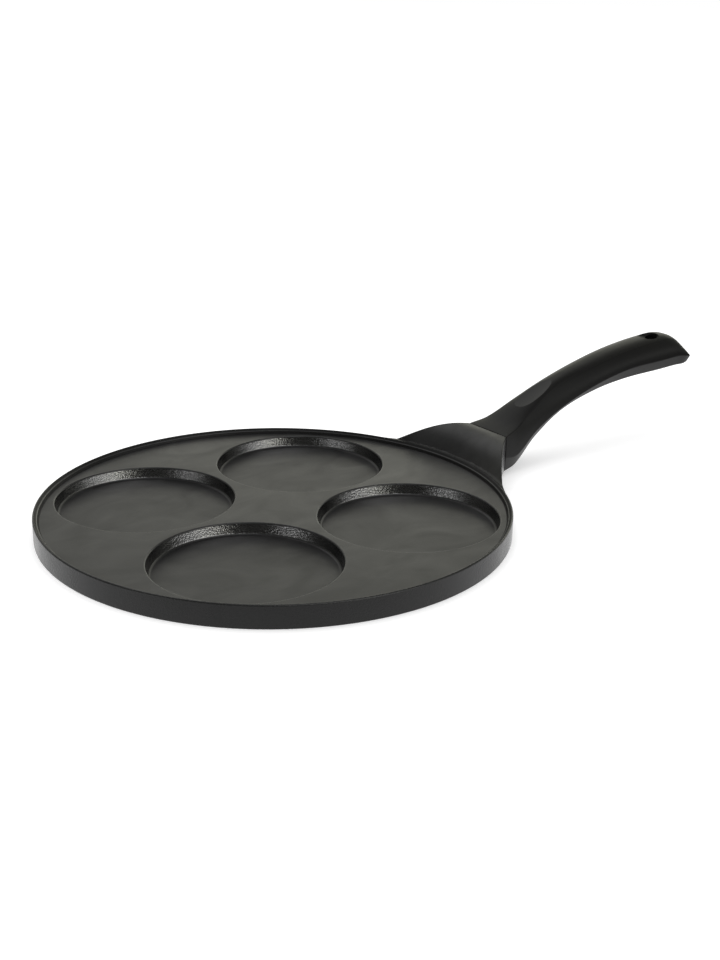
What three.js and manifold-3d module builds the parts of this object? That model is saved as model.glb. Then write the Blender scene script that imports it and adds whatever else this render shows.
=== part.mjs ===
// Four-cup pancake pan: a cast aluminium plate with its neck, and a phenolic handle screwed to the neck.
// Millimetres, +Z up. The origin is the centre of the flat base, and the handle runs along +X.

import * as THREE from 'three';
import { mergeVertices } from 'three/addons/utils/BufferGeometryUtils.js';
import Module from 'manifold-3d';

const wasm = await Module();
wasm.setup();

// Plate and rim
const PAN_RADIUS = 130;
const RIM_HEIGHT = 12.5;
const RIM_EDGE_RADIUS = 0.5;
const BASE_EDGE_RADIUS = 0.6;
const LIP_WIDTH = 2.6;
const LIP_DROP = 1.4;
const STEP_WIDTH = 1.1;
const STEP_DROP = 1.6;

// Cups, whose radius follows from the room that the lands around them leave
const CUP_COUNT = 4;
const CUP_MARGIN = 2.5;
const CUP_WEB = 3.7;
const CUP_DEPTH = 6.5;
const CUP_WALL_LEAN = 1.0;
const CUP_MOUTH_RADIUS = 0.8;
const CUP_FLOOR_RADIUS = 1.6;

// Neck, cast in one with the plate
const NECK_REACH = 25;
const NECK_TOP = 25.3;
const NECK_UNDERSIDE = 3.2;
const NECK_WIDTH = 34.6;
const NECK_SPREAD = THREE.MathUtils.degToRad(31);
const NECK_SIDE_TANGENT = 34;
const NECK_SIDE_UNDERCUT = 1;
const NECK_FOOT_FLAT = 3;
const NECK_FOOT_RUN = 7.5;
const NECK_CREST_FLAT = 2;

// Tenon on the neck's end, which the handle slides over
const TENON_LENGTH = 17;
const TENON_WIDTH = 20;
const TENON_HEIGHT = 8.5;
const TENON_CORNER_RADIUS = 2;
const TENON_BELOW_TOP = 8;

// Handle
const HANDLE_LENGTH = 167;
const HANDLE_RISE = 39.9;
const HEEL_LENGTH = 12;
const GRIP_START = 30;
const GRIP_WIDTH = 31.4;
const GRIP_DEPTH = 20.5;
const BEVEL_HEIGHT = 7.3;
const BEVEL_INSET = 3.2;
const TIP_LENGTH = 28;
const NOSE_LENGTH = 12;
const CROWN_POWER = 2.4;
const SIDE_POWER = 2.8;
const HANDLE_RINGS = 44;
const CROWN_STEPS = 10;
const SIDE_STEPS = 6;
const HOLE_RADIUS = 4;
const HOLE_FROM_END = 24;
const SCOOP_FROM_END = 27.5;
const SCOOP_LENGTH = 15;
const SCOOP_WIDTH = 14;
const SCOOP_DEPTH = 2.4;
const THUMB_FROM_SEAM = 37.8;
const THUMB_DEPTH = 1.1;
const THUMB_LONG_RADIUS = 220;
const THUMB_CROSS_RADIUS = 69;
const THUMB_CUTTER_HEIGHT = 20;
const THUMB_PITCH_SPAN = 2;

// Screw, washers and their seat under the handle
const SCREW_FROM_SEAM = 8.5;
const SCREW_RADIUS = 2.5;
const SCREW_TIP_MARGIN = 1;
const SCREW_HEAD_RADIUS = 4.6;
const SCREW_HEAD_HEIGHT = 2.6;
const SCREW_HEAD_ROUND = 1;
const CROSS_SLOT_LENGTH = 5;
const CROSS_SLOT_WIDTH = 1.1;
const CROSS_SLOT_DEPTH = 1.8;
const WASHER_RADIUS = 5;
const WASHER_THICKNESS = 1;
const SPRING_RADIUS = 4.4;
const SPRING_THICKNESS = 1.4;
const SPRING_SPLIT = 1;
const SPRING_SPLIT_ANGLE = THREE.MathUtils.degToRad(25);
const SEAT_WALL = 3.5;

// Clearances
const SEAM_GAP = 0.3;
const TENON_CLEARANCE = 0.3;
const BOLT_CLEARANCE = 0.3;
const COUNTERBORE_CLEARANCE = 0.6;
const STACK_GAP = 0.1;

// Facets, the overshoot of cutting tools and the overlap of joined shapes
const ROUND_SEGMENTS = 120;
const CUP_SEGMENTS = 64;
const SMALL_SEGMENTS = 24;
const ARC_STEPS = 3;
const CUT_OVERSHOOT = 2;
const JOIN_OVERLAP = 1;
const WELD_DISTANCE = 1e-4;

// Values that follow from the sizes above
const PLATE_TOP = RIM_HEIGHT - LIP_DROP - STEP_DROP;
const PLATE_RADIUS = PAN_RADIUS - LIP_WIDTH - STEP_WIDTH;
const CUP_CHORD = 2 * Math.sin(Math.PI / CUP_COUNT);
const CUP_RADIUS = (CUP_CHORD * (PLATE_RADIUS - CUP_MARGIN) - CUP_WEB) / (2 + CUP_CHORD);
const CUP_CIRCLE_RADIUS = PLATE_RADIUS - CUP_MARGIN - CUP_RADIUS;
const SEAM_X = PAN_RADIUS + NECK_REACH;
const TENON_Z = NECK_TOP - TENON_BELOW_TOP;
const HANDLE_FRONT_X = SEAM_X + SEAM_GAP;
const SCREW_X = SEAM_X + SCREW_FROM_SEAM;
const SEAT_Z = TENON_Z - TENON_HEIGHT / 2 - TENON_CLEARANCE - SEAT_WALL;
const TIP_START = HANDLE_LENGTH - TIP_LENGTH;
const GRIP_LENGTH = TIP_START - GRIP_START;
const GRIP_LOW = GRIP_START + 0.2 * GRIP_LENGTH;
const GRIP_MIDDLE = GRIP_START + 0.46 * GRIP_LENGTH;
const GRIP_HIGH = GRIP_START + 0.72 * GRIP_LENGTH;
const NOSE_START = HANDLE_LENGTH - NOSE_LENGTH;
const NOSE_MIDDLE = HANDLE_LENGTH - NOSE_LENGTH / 3;
const SEAM_DEPTH = (NECK_TOP - NECK_UNDERSIDE) / GRIP_DEPTH;
const SEAM_WIDTH = NECK_WIDTH / GRIP_WIDTH;

// Handle stations: distance behind the seam, then the ridge's rise, the depth from ridge to underside, the
// width, and the height and inset of the bevel along the lower edge, each as a share of the handle's own
// size of that name. Last come the two places of the crease between crown and side, as shares of the
// half width and of the height from ridge to bevel.
const STATIONS = [
  { at: 0, rise: 0, depth: SEAM_DEPTH, width: SEAM_WIDTH, bevel: 1.23, inset: 0.13, edge: 0.975, drop: 0.02 },
  {
    at: HEEL_LENGTH,
    rise: 0.102,
    depth: SEAM_DEPTH + 0.1,
    width: 0.99,
    bevel: 0.89,
    inset: 0.5,
    edge: 0.9,
    drop: 0.07,
  },
  { at: GRIP_START, rise: 0.357, depth: 1.02, width: 0.84, bevel: 0.68, inset: 0.62, edge: 0.78, drop: 0.13 },
  { at: GRIP_LOW, rise: 0.6, depth: 0.85, width: 0.83, bevel: 0.41, inset: 0.62, edge: 0.6, drop: 0.15 },
  { at: GRIP_MIDDLE, rise: 0.78, depth: 0.79, width: 0.88, bevel: 0.62, inset: 0.69, edge: 0.6, drop: 0.15 },
  { at: GRIP_HIGH, rise: 0.917, depth: 0.887, width: 0.93, bevel: 0.93, inset: 0.88, edge: 0.6, drop: 0.15 },
  { at: TIP_START, rise: 1, depth: 1, width: 0.98, bevel: 1, inset: 1, edge: 0.6, drop: 0.15 },
  { at: NOSE_START, rise: 0.985, depth: 0.935, width: 1, bevel: 0.99, inset: 1, edge: 0.6, drop: 0.15 },
  { at: NOSE_MIDDLE, rise: 0.81, depth: 0.598, width: 0.99, bevel: 0.85, inset: 0.94, edge: 0.6, drop: 0.15 },
  {
    at: HANDLE_LENGTH,
    rise: 0.671,
    depth: 0.292,
    width: 0.94,
    bevel: 0.63,
    inset: 0.81,
    edge: 0.6,
    drop: 0.15,
  },
];

const castAluminium = new THREE.MeshStandardMaterial({ color: 0x3d3e3b, roughness: 0.5, metalness: 0.2 });
const phenolic = new THREE.MeshStandardMaterial({ color: 0x1c1c1b, roughness: 0.55, metalness: 0 });
const steel = new THREE.MeshStandardMaterial({ color: 0xb4b4b0, roughness: 0.35, metalness: 1 });

// A closed geometry as a solid that can be joined and cut
function solid(geometry) {
  const bare = geometry.clone();
  bare.deleteAttribute('normal');
  bare.deleteAttribute('uv');
  const merged = mergeVertices(bare, WELD_DISTANCE);
  const vertProperties = new Float32Array(merged.getAttribute('position').array);
  const triVerts = new Uint32Array(merged.getIndex().array);
  return new wasm.Manifold(new wasm.Mesh({ numProp: 3, vertProperties, triVerts }));
}

// A solid as a named mesh of the assembly
function namedMesh(name, body, material) {
  const { vertProperties, triVerts } = body.getMesh();
  const geometry = new THREE.BufferGeometry();
  geometry.setAttribute('position', new THREE.BufferAttribute(vertProperties, 3));
  geometry.setIndex(new THREE.BufferAttribute(triVerts, 1));
  geometry.computeVertexNormals();
  const mesh = new THREE.Mesh(geometry, material);
  mesh.name = name;
  return mesh;
}

// A profile of [radius, height] points turned about Z, or about a parallel axis at x, y
function turned(profile, segments, x = 0, y = 0) {
  const points = profile.map(([radius, height]) => new THREE.Vector2(radius, height));
  const geometry = new THREE.LatheGeometry(points, segments);
  geometry.rotateX(Math.PI / 2);
  geometry.translate(x, y, 0);
  return solid(geometry);
}

// Points of an arc from one angle to another, as [radius, height] about a centre
function arc(centreRadius, centreHeight, radius, from, to) {
  const points = [];
  for (let i = 0; i <= ARC_STEPS; i += 1) {
    const angle = THREE.MathUtils.degToRad(from + ((to - from) * i) / ARC_STEPS);
    points.push([centreRadius + radius * Math.cos(angle), centreHeight + radius * Math.sin(angle)]);
  }
  return points;
}

// A skin over rings of equally many points, closed by a fan at each end
function loft(rings) {
  const count = rings[0].length;
  const positions = [];
  const indices = [];
  rings.forEach((ring) => ring.forEach((point) => positions.push(point.x, point.y, point.z)));
  for (let r = 0; r + 1 < rings.length; r += 1) {
    for (let i = 0; i < count; i += 1) {
      const a = r * count + i;
      const b = r * count + ((i + 1) % count);
      indices.push(a, b, b + count, a, b + count, a + count);
    }
  }
  [0, rings.length - 1].forEach((r) => {
    const centre = new THREE.Vector3();
    rings[r].forEach((point) => centre.addScaledVector(point, 1 / count));
    const hub = positions.length / 3;
    positions.push(centre.x, centre.y, centre.z);
    for (let i = 0; i < count; i += 1) {
      const a = r * count + i;
      const b = r * count + ((i + 1) % count);
      indices.push(...(r === 0 ? [hub, b, a] : [hub, a, b]));
    }
  });
  const geometry = new THREE.BufferGeometry();
  geometry.setAttribute('position', new THREE.Float32BufferAttribute(positions, 3));
  geometry.setIndex(indices);
  return solid(geometry);
}

// A bar of rounded rectangular section along X
function roundedBar(width, height, corner, startX, endX, centreZ) {
  const w = width / 2;
  const h = height / 2;
  const shape = new THREE.Shape();
  shape.moveTo(-w + corner, -h);
  shape.lineTo(w - corner, -h);
  shape.absarc(w - corner, -h + corner, corner, -Math.PI / 2, 0);
  shape.lineTo(w, h - corner);
  shape.absarc(w - corner, h - corner, corner, 0, Math.PI / 2);
  shape.lineTo(-w + corner, h);
  shape.absarc(-w + corner, h - corner, corner, Math.PI / 2, Math.PI);
  shape.lineTo(-w, -h + corner);
  shape.absarc(-w + corner, -h + corner, corner, Math.PI, 1.5 * Math.PI);
  const geometry = new THREE.ExtrudeGeometry(shape, {
    depth: endX - startX,
    bevelEnabled: false,
    curveSegments: ARC_STEPS,
  });
  const alongX = new THREE.Matrix4().makeBasis(
    new THREE.Vector3(0, 1, 0),
    new THREE.Vector3(0, 0, 1),
    new THREE.Vector3(1, 0, 0),
  );
  geometry.applyMatrix4(alongX);
  geometry.translate(startX, 0, centreZ);
  return solid(geometry);
}

// A round bar along Z
function post(radius, lowZ, highZ, x) {
  const geometry = new THREE.CylinderGeometry(radius, radius, highZ - lowZ, SMALL_SEGMENTS);
  geometry.rotateX(Math.PI / 2);
  geometry.translate(x, 0, (lowZ + highZ) / 2);
  return solid(geometry);
}

// An ellipsoid in the handle's vertical plane, tipped up by the pitch
function ellipsoid(halfLength, halfWidth, halfHeight, pitch, x, z) {
  const geometry = new THREE.SphereGeometry(1, 2 * SMALL_SEGMENTS, SMALL_SEGMENTS);
  geometry.rotateX(Math.PI / 2);
  geometry.scale(halfLength, halfWidth, halfHeight);
  geometry.rotateY(-pitch);
  geometry.translate(x, 0, z);
  return solid(geometry);
}

// Plate with a lip that slopes to an inner step
function plate() {
  const low = BASE_EDGE_RADIUS;
  const top = RIM_EDGE_RADIUS;
  return turned(
    [
      [0, 0],
      ...arc(PAN_RADIUS - low, low, low, -90, 0),
      ...arc(PAN_RADIUS - top, RIM_HEIGHT - top, top, 0, 90),
      [PAN_RADIUS - LIP_WIDTH, RIM_HEIGHT - LIP_DROP],
      [PLATE_RADIUS, PLATE_TOP],
      [0, PLATE_TOP],
    ],
    ROUND_SEGMENTS,
  );
}

// Space inside one cup, with a rounded mouth and a fillet at its floor
function cupSpace(index) {
  const angle = ((index + 0.5) * 2 * Math.PI) / CUP_COUNT;
  const floorZ = PLATE_TOP - CUP_DEPTH;
  const mouth = CUP_MOUTH_RADIUS;
  const fillet = CUP_FLOOR_RADIUS;
  const wallFoot = CUP_RADIUS - mouth - CUP_WALL_LEAN;
  return turned(
    [
      [0, floorZ],
      ...arc(wallFoot - fillet, floorZ + fillet, fillet, -90, 0),
      ...arc(CUP_RADIUS, PLATE_TOP - mouth, mouth, 180, 90),
      [CUP_RADIUS, PLATE_TOP + CUT_OVERSHOOT],
      [0, PLATE_TOP + CUT_OVERSHOOT],
    ],
    CUP_SEGMENTS,
    CUP_CIRCLE_RADIUS * Math.cos(angle),
    CUP_CIRCLE_RADIUS * Math.sin(angle),
  );
}

// Outline of the neck seen from above, whose sides leave the rim at a tangent and bow inwards
function neckOutline(z, undercut) {
  const leave = new THREE.Vector2(PAN_RADIUS * Math.cos(NECK_SPREAD), PAN_RADIUS * Math.sin(NECK_SPREAD));
  const pull = new THREE.Vector2(
    leave.x + NECK_SIDE_TANGENT * Math.sin(NECK_SPREAD),
    leave.y - NECK_SIDE_TANGENT * Math.cos(NECK_SPREAD) - undercut,
  );
  const seam = new THREE.Vector2(SEAM_X, NECK_WIDTH / 2);
  const side = new THREE.QuadraticBezierCurve(seam, pull, leave).getPoints(2 * ARC_STEPS);
  const left = side.map((point) => new THREE.Vector3(point.x, point.y, z));
  const right = side.map((point) => new THREE.Vector3(point.x, -point.y, z)).reverse();
  return [...left, ...right];
}

// Neck: its top swells up with the distance from the rim, and its sides follow the outline
function neck() {
  const startRadius = PAN_RADIUS + NECK_FOOT_FLAT;
  const endRadius = SEAM_X - NECK_CREST_FLAT;
  const rootRadius = PAN_RADIUS - JOIN_OVERLAP;
  const rootTop = RIM_HEIGHT - RIM_EDGE_RADIUS;
  const outerRadius = Math.hypot(SEAM_X, NECK_WIDTH) + CUT_OVERSHOOT;
  const swell = new THREE.QuadraticBezierCurve(
    new THREE.Vector2(endRadius, NECK_TOP),
    new THREE.Vector2(startRadius + NECK_FOOT_RUN, NECK_TOP),
    new THREE.Vector2(startRadius, rootTop),
  );
  const dome = turned(
    [
      [rootRadius, NECK_UNDERSIDE],
      [outerRadius, NECK_UNDERSIDE],
      [outerRadius, NECK_TOP],
      ...swell.getPoints(2 * ARC_STEPS).map((point) => [point.x, point.y]),
      [rootRadius, rootTop],
      [rootRadius, NECK_UNDERSIDE],
    ],
    ROUND_SEGMENTS,
  );
  const sides = loft([
    neckOutline(NECK_UNDERSIDE - CUT_OVERSHOOT, NECK_SIDE_UNDERCUT),
    neckOutline(NECK_TOP + CUT_OVERSHOOT, 0),
  ]);
  return dome.intersect(sides);
}

// Pan body: plate, neck and tenon in one casting, with the cups and the tapped hole
function panBody() {
  const rootX = SEAM_X - JOIN_OVERLAP;
  const tenonEnd = SEAM_X + TENON_LENGTH;
  const tenon = roundedBar(TENON_WIDTH, TENON_HEIGHT, TENON_CORNER_RADIUS, rootX, tenonEnd, TENON_Z);
  const tapLow = TENON_Z - TENON_HEIGHT / 2 - CUT_OVERSHOOT;
  const tapHigh = TENON_Z + TENON_HEIGHT / 2 + CUT_OVERSHOOT;
  const tap = post(SCREW_RADIUS + BOLT_CLEARANCE, tapLow, tapHigh, SCREW_X);
  let body = plate().add(neck()).add(tenon.subtract(tap));
  for (let i = 0; i < CUP_COUNT; i += 1) {
    body = body.subtract(cupSpace(i));
  }
  return body;
}

// Slope of a station value, from its neighbours
function stationSlope(key, index) {
  const before = STATIONS[Math.max(index - 1, 0)];
  const after = STATIONS[Math.min(index + 1, STATIONS.length - 1)];
  return (after[key] - before[key]) / (after.at - before.at);
}

// Smooth value between the stations, by a cubic through each pair
function stationValue(key, at) {
  const last = STATIONS.length - 2;
  const found = STATIONS.findIndex((station, i) => i <= last && at <= STATIONS[i + 1].at);
  const index = found < 0 ? last : found;
  const low = STATIONS[index];
  const high = STATIONS[index + 1];
  const span = high.at - low.at;
  const t = (at - low.at) / span;
  const startPull = low[key] + (stationSlope(key, index) * span) / 3;
  const endPull = high[key] - (stationSlope(key, index + 1) * span) / 3;
  const u = 1 - t;
  return u ** 3 * low[key] + 3 * u * u * t * startPull + 3 * u * t * t * endPull + t ** 3 * high[key];
}

// Ridge height of the handle at a distance behind the seam
function ridgeZ(at) {
  return NECK_TOP + HANDLE_RISE * stationValue('rise', at);
}

// Height of the handle's underside at a distance behind the seam
function undersideZ(at) {
  return ridgeZ(at) - GRIP_DEPTH * stationValue('depth', at);
}

// Section of the handle: a crown and two sides that meet in a crease, two bevels and a flat underside
function handleRing(at) {
  const top = ridgeZ(at);
  const under = undersideZ(at);
  const shoulder = under + BEVEL_HEIGHT * stationValue('bevel', at);
  const halfWidth = (GRIP_WIDTH * stationValue('width', at)) / 2;
  const footWidth = halfWidth - BEVEL_INSET * stationValue('inset', at);
  const edgeWidth = halfWidth * stationValue('edge', at);
  const edgeZ = THREE.MathUtils.lerp(top, shoulder, stationValue('drop', at));
  const x = HANDLE_FRONT_X + at;
  const side = [];
  for (let i = 0; i < SIDE_STEPS; i += 1) {
    const up = i / SIDE_STEPS;
    const y = THREE.MathUtils.lerp(halfWidth, edgeWidth, up ** SIDE_POWER);
    side.push(new THREE.Vector3(x, y, THREE.MathUtils.lerp(shoulder, edgeZ, up)));
  }
  const crown = [];
  for (let i = 0; i <= CROWN_STEPS; i += 1) {
    const across = 1 - (2 * i) / CROWN_STEPS;
    const z = THREE.MathUtils.lerp(top, edgeZ, Math.abs(across) ** CROWN_POWER);
    crown.push(new THREE.Vector3(x, edgeWidth * across, z));
  }
  const farSide = side.map((point) => new THREE.Vector3(x, -point.y, point.z)).reverse();
  const foot = [new THREE.Vector3(x, -footWidth, under), new THREE.Vector3(x, footWidth, under)];
  return [...side, ...crown, ...farSide, ...foot];
}

// Shallow dish for the thumb, lying along the ridge
function thumbDish() {
  const lowZ = ridgeZ(THUMB_FROM_SEAM - THUMB_PITCH_SPAN / 2);
  const highZ = ridgeZ(THUMB_FROM_SEAM + THUMB_PITCH_SPAN / 2);
  const pitch = Math.atan2(highZ - lowZ, THUMB_PITCH_SPAN);
  const lift = THUMB_CUTTER_HEIGHT - THUMB_DEPTH;
  const x = HANDLE_FRONT_X + THUMB_FROM_SEAM - lift * Math.sin(pitch);
  const z = ridgeZ(THUMB_FROM_SEAM) + lift * Math.cos(pitch);
  const halfLength = Math.sqrt(THUMB_LONG_RADIUS * THUMB_CUTTER_HEIGHT);
  const halfWidth = Math.sqrt(THUMB_CROSS_RADIUS * THUMB_CUTTER_HEIGHT);
  return ellipsoid(halfLength, halfWidth, THUMB_CUTTER_HEIGHT, pitch, x, z);
}

// Handle: a lofted grip with the socket, the screw's way, the thumb dish and the hanging hole
function handle() {
  const rings = [];
  for (let i = 0; i <= HANDLE_RINGS; i += 1) {
    rings.push(handleRing((HANDLE_LENGTH * i) / HANDLE_RINGS));
  }
  const socket = roundedBar(
    TENON_WIDTH + 2 * TENON_CLEARANCE,
    TENON_HEIGHT + 2 * TENON_CLEARANCE,
    TENON_CORNER_RADIUS + TENON_CLEARANCE,
    SEAM_X - CUT_OVERSHOOT,
    SEAM_X + TENON_LENGTH + TENON_CLEARANCE,
    TENON_Z,
  );
  const screwWay = post(SCREW_RADIUS + BOLT_CLEARANCE, SEAT_Z - CUT_OVERSHOOT, TENON_Z, SCREW_X);
  const boreLow = undersideZ(SCREW_FROM_SEAM) - CUT_OVERSHOOT;
  const counterbore = post(WASHER_RADIUS + COUNTERBORE_CLEARANCE, boreLow, SEAT_Z, SCREW_X);
  const holeAt = HANDLE_LENGTH - HOLE_FROM_END;
  const holeLow = undersideZ(holeAt) - CUT_OVERSHOOT;
  const holeHigh = ridgeZ(holeAt) + CUT_OVERSHOOT;
  const hole = post(HOLE_RADIUS, holeLow, holeHigh, HANDLE_FRONT_X + holeAt);
  const scoopAt = HANDLE_LENGTH - SCOOP_FROM_END;
  const scoopX = HANDLE_FRONT_X + scoopAt;
  const scoop = ellipsoid(SCOOP_LENGTH / 2, SCOOP_WIDTH / 2, SCOOP_DEPTH, 0, scoopX, ridgeZ(scoopAt));
  return loft(rings)
    .subtract(socket)
    .subtract(screwWay)
    .subtract(counterbore)
    .subtract(thumbDish())
    .subtract(scoop)
    .subtract(hole);
}

// Ring of rectangular section about the screw's axis
function screwRing(innerRadius, outerRadius, lowZ, highZ) {
  return turned(
    [
      [innerRadius, lowZ],
      [outerRadius, lowZ],
      [outerRadius, highZ],
      [innerRadius, highZ],
      [innerRadius, lowZ],
    ],
    SMALL_SEGMENTS,
    SCREW_X,
  );
}

// The washers and the screw's head hang below the seat, one under the other
const washerTop = SEAT_Z - STACK_GAP;
const springTop = washerTop - WASHER_THICKNESS - STACK_GAP;
const headTop = springTop - SPRING_THICKNESS - STACK_GAP;

function flatWasher() {
  const bore = SCREW_RADIUS + BOLT_CLEARANCE;
  return screwRing(bore, WASHER_RADIUS, washerTop - WASHER_THICKNESS, washerTop);
}

// Lock washer, split on a slant
function springWasher() {
  const bore = SCREW_RADIUS + BOLT_CLEARANCE;
  const ring = screwRing(bore, SPRING_RADIUS, springTop - SPRING_THICKNESS, springTop);
  const splitHeight = SPRING_THICKNESS + 2 * CUT_OVERSHOOT;
  const split = new THREE.BoxGeometry(SPRING_RADIUS, SPRING_SPLIT, splitHeight);
  split.rotateX(SPRING_SPLIT_ANGLE);
  split.translate(SCREW_X + (bore + SPRING_RADIUS) / 2, 0, springTop - SPRING_THICKNESS / 2);
  return ring.subtract(solid(split));
}

// Screw with a rounded head below and a cross recess
function screw() {
  const headLow = headTop - SCREW_HEAD_HEIGHT;
  const tipZ = TENON_Z + TENON_HEIGHT / 2 - SCREW_TIP_MARGIN;
  const round = SCREW_HEAD_ROUND;
  const body = turned(
    [
      [0, headLow],
      ...arc(SCREW_HEAD_RADIUS - round, headLow + round, round, -90, 0),
      [SCREW_HEAD_RADIUS, headTop],
      [SCREW_RADIUS, headTop],
      [SCREW_RADIUS, tipZ],
      [0, tipZ],
    ],
    SMALL_SEGMENTS,
    SCREW_X,
  );
  const alongX = new THREE.BoxGeometry(CROSS_SLOT_LENGTH, CROSS_SLOT_WIDTH, 2 * CROSS_SLOT_DEPTH);
  const alongY = new THREE.BoxGeometry(CROSS_SLOT_WIDTH, CROSS_SLOT_LENGTH, 2 * CROSS_SLOT_DEPTH);
  alongX.translate(SCREW_X, 0, headLow);
  alongY.translate(SCREW_X, 0, headLow);
  return body.subtract(solid(alongX)).subtract(solid(alongY));
}

const pan = new THREE.Group();
pan.add(namedMesh('pan_body', panBody(), castAluminium));
pan.add(namedMesh('handle', handle(), phenolic));
pan.add(namedMesh('handle_screw', screw(), steel));
pan.add(namedMesh('spring_washer', springWasher(), steel));
pan.add(namedMesh('flat_washer', flatWasher(), steel));

export default pan;
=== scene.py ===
import math

import bpy
from mathutils import Matrix, Vector
from mathutils.geometry import delaunay_2d_cdt

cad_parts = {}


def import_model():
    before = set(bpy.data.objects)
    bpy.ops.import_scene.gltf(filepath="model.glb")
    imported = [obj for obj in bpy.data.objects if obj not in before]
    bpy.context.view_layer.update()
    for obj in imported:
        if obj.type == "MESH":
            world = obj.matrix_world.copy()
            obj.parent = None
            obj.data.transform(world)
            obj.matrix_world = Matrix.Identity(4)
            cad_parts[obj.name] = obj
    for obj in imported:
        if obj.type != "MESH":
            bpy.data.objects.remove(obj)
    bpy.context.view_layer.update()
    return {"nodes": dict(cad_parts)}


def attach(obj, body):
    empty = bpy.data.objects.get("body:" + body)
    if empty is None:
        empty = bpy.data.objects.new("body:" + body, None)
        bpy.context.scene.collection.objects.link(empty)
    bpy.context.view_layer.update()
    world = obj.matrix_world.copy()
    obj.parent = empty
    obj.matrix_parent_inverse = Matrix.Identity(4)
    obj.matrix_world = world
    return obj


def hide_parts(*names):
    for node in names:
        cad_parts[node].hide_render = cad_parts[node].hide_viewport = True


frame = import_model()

MM = 0.001

# Sizes in millimetres. The main ones are the source's, or a hair smaller to stay inside its box.

# Plate and rim
PAN_RADIUS = 129.99
RIM_HEIGHT = 12.5
PLATE_TOP = 9.5
PLATE_RADIUS = 126.3
BASE_HUB_RADIUS = 60.0
BASE_FLAT_RADIUS = 118.0
BASE_ROUND = 0.6
SIDE_RING_Z = 6.0
RIM_ROUND = 0.8
RIM_CREST_ANGLE = 100
LIP_RADIUS = 127.4
LIP_FOOT = 11.1
LIP_ROUND = 0.35
LIP_ROUND_DROP = 0.15
LIP_SLOPE_FOOT = 0.5
GROOVE_SLOPE_FOOT = 0.5
GROOVE_EASE = 0.1
GROOVE_WIDTH = 0.4
PAN_SEGMENTS = 360
PAN_CRISP_ANGLE = 32
SMALL_ROUND_STEPS = 4
RIM_ROUND_STEPS = 8
FILL_INSIDE = 1
FILL_MERGE = 1e-5

# Cups
CUP_RADIUS = 50.196
CUP_CIRCLE_RADIUS = 73.604
CUP_FLOOR = 3.0
CUP_WALL_FOOT = 48.396
CUP_WALL_MIDDLE_LEAN = 0.5
CUP_WALL_MIDDLE_Z = 6.6
CUP_EDGE_ROUND = 0.8
CUP_FOOT_ROUND = 1.6
CUP_HUB_RADIUS = 30.0
CUP_ROUND_STEPS = 6
CUP_SEGMENTS = 192

# Neck and tenon
SEAM_X = 155.0
SEAM_ROUND = 0.35
SEAM_ROUND_RUN = 0.3
NECK_TOP = 25.3
NECK_UNDERSIDE = 3.2
NECK_HALF_WIDTH = 17.3
NECK_SPREAD = math.radians(31)
NECK_SIDE_TANGENT = 34.0
NECK_FOOT_DROP = 0.5
NECK_FOOT_FLAT = 3.0
NECK_FOOT_RUN = 7.5
NECK_CREST_FLAT = 2.0
NECK_TOP_ROUND = 0.9
NECK_LOW_ROUND = 0.8
NECK_LOW_INSET = 0.3 * NECK_LOW_ROUND
NECK_LOW_NARROWING = 1.0
NECK_ROOT_RADIUS = 129.2
NECK_STEPS = 60
NECK_SIDE_STEPS = 7
NECK_HALF_STEPS = 40
CREASE_SHADE_WIDTH = 0.9
TENON_WIDTH = 20.0
TENON_HEIGHT = 8.5
TENON_CORNER = 2.0
TENON_CORNER_STEPS = 6
TENON_Z = 17.3
TENON_ROOT = 1.0
TENON_END = 172.0
TENON_GAP = 0.3
SOCKET_LEAD = 2.0

# Handle
HANDLE_FRONT_X = 155.3
HANDLE_LENGTH = 166.99
HANDLE_RISE = 39.82
GRIP_WIDTH = 31.4
GRIP_DEPTH = 20.5
BEVEL_HEIGHT = 7.3
BEVEL_INSET = 3.2
BEVEL_FOOT_ROUND = 0.7
BEVEL_TOP_ROUND = 0.5
UNDERSIDE_ROUND = 0.6
UNDERSIDE_ROUND_LEAN = 0.06
UNDERSIDE_ROUND_INSET = 0.12
CREASE_ROUND = 0.4
HANDLE_END_ROUND = 0.35
HANDLE_TAIL = 0.5
HANDLE_TAIL_STEP = 0.15
HANDLE_TAIL_INSET = 0.1
HANDLE_CRISP_ANGLE = 15
HANDLE_STEPS = 150
HANDLE_SIDE_STEPS = 36
CROWN_HALF_STEPS = 40
CROWN_POWER = 2.4
SIDE_POWER = 2.8
SCREW_X = 163.5
SCREW_HOLE_RADIUS = 2.8
SCREW_HEAD_WAY = 5.6
SEAT_Z = 9.25
HOLE_AT = 143.0
HOLE_RADIUS = 4.0
HOLE_BOTTOM_Z = 40.0
HOLE_TOP_Z = 70.0
HOLE_SEGMENTS = 96
SCOOP_AT = 139.5
SCOOP_HALF_LENGTH = 7.5
SCOOP_HALF_WIDTH = 7.0
SCOOP_DEPTH = 2.4
THUMB_AT = 37.8
THUMB_DEPTH = 1.1
THUMB_LONG_RADIUS = 220.0
THUMB_CROSS_RADIUS = 69.0
THUMB_CUTTER_HALF_HEIGHT = 20.0
CUTTER_RINGS = 64
CUTTER_SEGMENTS = 96

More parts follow.
